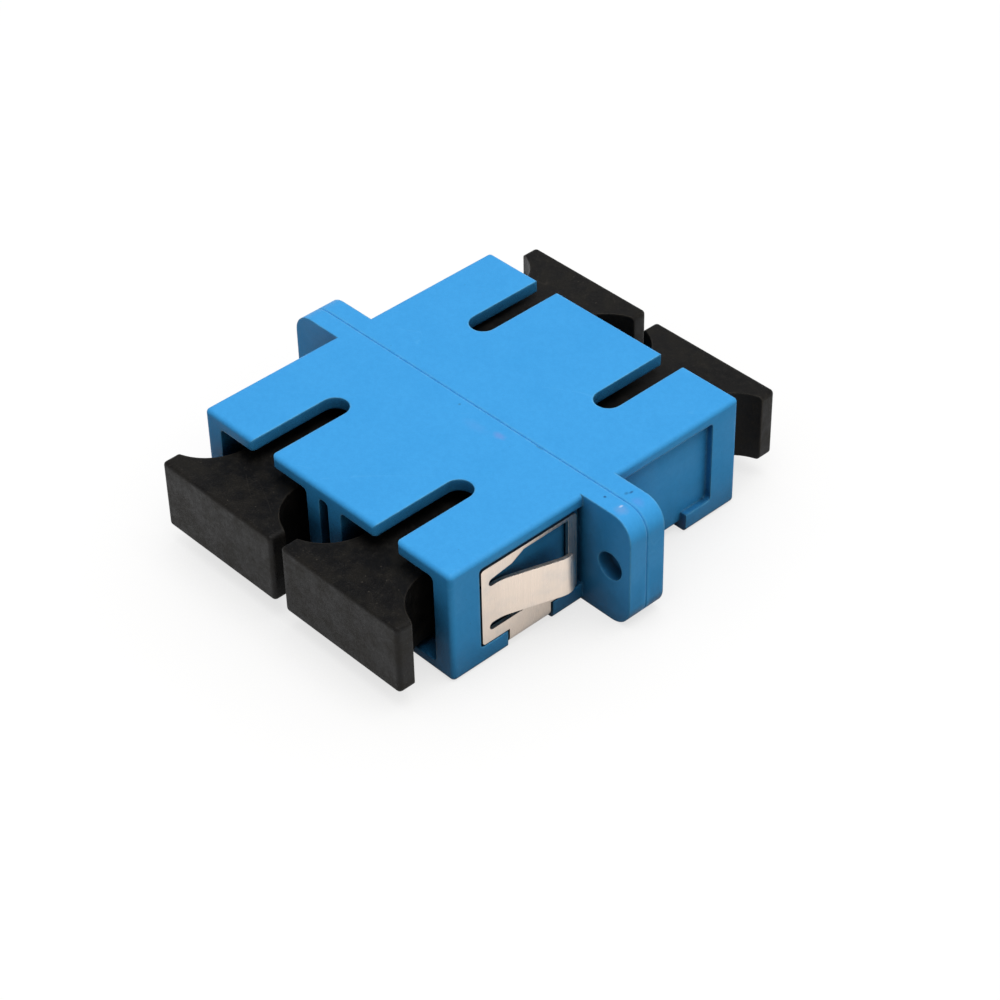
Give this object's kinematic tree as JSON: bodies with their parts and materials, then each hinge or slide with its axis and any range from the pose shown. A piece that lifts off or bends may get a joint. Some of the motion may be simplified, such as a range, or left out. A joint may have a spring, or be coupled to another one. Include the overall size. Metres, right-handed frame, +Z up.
{
  "type": "flanged duplex fibre adapter",
  "caption": "Flanged coupling that joins push-pull fibre plugs end to end through a panel, with keyed ports, a side spring clip and pull-off dust caps.",
  "frame": {"origin": "centre of the face where the two housing halves meet, halfway up the housing", "axes": "+X along the flange, +Y through the ports from the clip half to the plain half, +Z up to the keyways"},
  "size_m": [0.0342, 0.0358, 0.0092],
  "materials": {
    "housing_plastic": "moulded blue PBT, fine satin texture",
    "insert_plastic": "moulded blue PBT, satin",
    "spring_steel": "rolled stainless strip, bright, warm tone",
    "sleeve_zirconia": "ground white zirconia",
    "cap_plastic": "moulded black polyethylene, soft sheen"
  },
  "bodies": {
    "adapter": {"housing_front": "housing_plastic", "housing_rear": "housing_plastic", "panel_clip": "spring_steel", "latch_insert_front_left": "insert_plastic", "latch_insert_front_right": "insert_plastic", "latch_insert_rear_left": "insert_plastic", "latch_insert_rear_right": "insert_plastic", "split_sleeve_left": "sleeve_zirconia", "split_sleeve_right": "sleeve_zirconia"},
    "cap_front_left": {"dust_cap_front_left": "cap_plastic"},
    "cap_front_right": {"dust_cap_front_right": "cap_plastic"},
    "cap_rear_left": {"dust_cap_rear_left": "cap_plastic"},
    "cap_rear_right": {"dust_cap_rear_right": "cap_plastic"}
  },
  "joints": [
    {"name": "cap_pull_front_left", "type": "slide", "parent": "adapter", "child": "cap_front_left", "axis": [0, -1, 0], "range_m": [0, 0.0125]},
    {"name": "cap_pull_front_right", "type": "slide", "parent": "adapter", "child": "cap_front_right", "axis": [0, -1, 0], "range_m": [0, 0.0125]},
    {"name": "cap_pull_rear_left", "type": "slide", "parent": "adapter", "child": "cap_rear_left", "axis": [0, 1, 0], "range_m": [0, 0.0125]},
    {"name": "cap_pull_rear_right", "type": "slide", "parent": "adapter", "child": "cap_rear_right", "axis": [0, 1, 0], "range_m": [0, 0.0125]}
  ]
}
